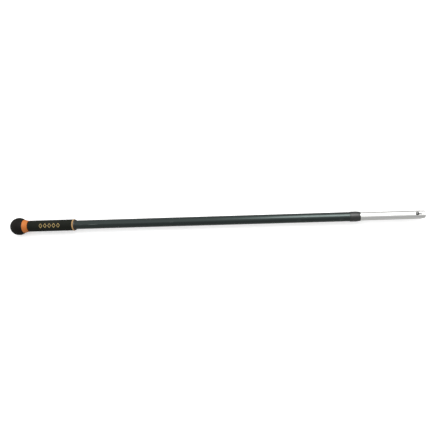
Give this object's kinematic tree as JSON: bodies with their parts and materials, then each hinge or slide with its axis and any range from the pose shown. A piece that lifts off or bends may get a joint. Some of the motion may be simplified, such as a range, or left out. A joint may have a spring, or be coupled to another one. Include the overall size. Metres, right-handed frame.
{
  "type": "telescopic roller extension pole",
  "caption": "Two-section telescopic pole with a swivelling ball knob, soft grip, internal twist lock and a tube end with a snap button for a roller or pad head.",
  "frame": {"origin": "centre of the tool end's face, on the pole's axis", "axes": "+X along the pole's axis and out of the tool end, +Z through the snap button"},
  "size_m": [1.15, 0.05, 0.05],
  "materials": {
    "black_rubber": "soft satin",
    "black_plastic": "satin",
    "orange_plastic": "semi-gloss",
    "white_plastic": "natural acetal, satin",
    "steel": "zinc-plated, satin",
    "grey_anodised_tube": "dark grey anodised, satin",
    "grey_plastic": "satin dark grey",
    "felt": "pressed felt",
    "bare_tube": "drawn, bare"
  },
  "bodies": {
    "outer": {"outer_tube": "grey_anodised_tube", "end_plug": "black_plastic", "plug_pin": "steel", "swivel_spindle": "steel", "retaining_clip": "steel", "retaining_washer": "steel", "thrust_washer": "white_plastic", "grip_sleeve": "black_rubber", "grip_ring": "orange_plastic", "grip_ferrule": "black_plastic", "tube_collar": "grey_plastic", "guide_bush": "white_plastic", "wiper_ring": "felt"},
    "knob": {"knob_cover": "black_rubber", "knob_core": "black_plastic", "knob_collar": "orange_plastic", "knob_bush": "white_plastic"},
    "lock_carriage": {"expander_sleeve": "black_plastic", "drag_ring": "black_rubber"},
    "cone_nut": {"cone_nut": "white_plastic"},
    "inner": {"inner_tube": "bare_tube", "lock_plug": "black_plastic", "lock_spindle": "steel", "tail_guide": "white_plastic", "tail_screw": "steel", "lock_pin": "steel", "button_spring": "steel"},
    "snap_button": {"snap_button": "steel"}
  },
  "joints": [
    {"name": "knob_spin", "type": "hinge", "parent": "outer", "child": "knob", "pos_m": [-1.125, 0, 0], "axis": [1, 0, 0], "continuous": true},
    {"name": "extension", "type": "slide", "parent": "outer", "child": "lock_carriage", "axis": [1, 0, 0], "range_m": [0, 0.8175]},
    {"name": "lock_twist", "type": "hinge", "parent": "lock_carriage", "child": "inner", "pos_m": [0, 0, 0], "axis": [1, 0, 0], "range_deg": [0, 360]},
    {"name": "cone_nut_travel", "type": "slide", "parent": "lock_carriage", "child": "cone_nut", "axis": [-1, 0, 0], "range_m": [0, 0.002]},
    {"name": "button_press", "type": "slide", "parent": "inner", "child": "snap_button", "axis": [0, 0, 1], "range_m": [-0.003, 0], "stiffness_N_per_m": 1500, "springref_m": 0.004, "deforming": ["button_spring"]}
  ],
  "couplings": [
    {"joint": "cone_nut_travel", "follows": "lock_twist", "m_per_rad": 0.000318}
  ]
}
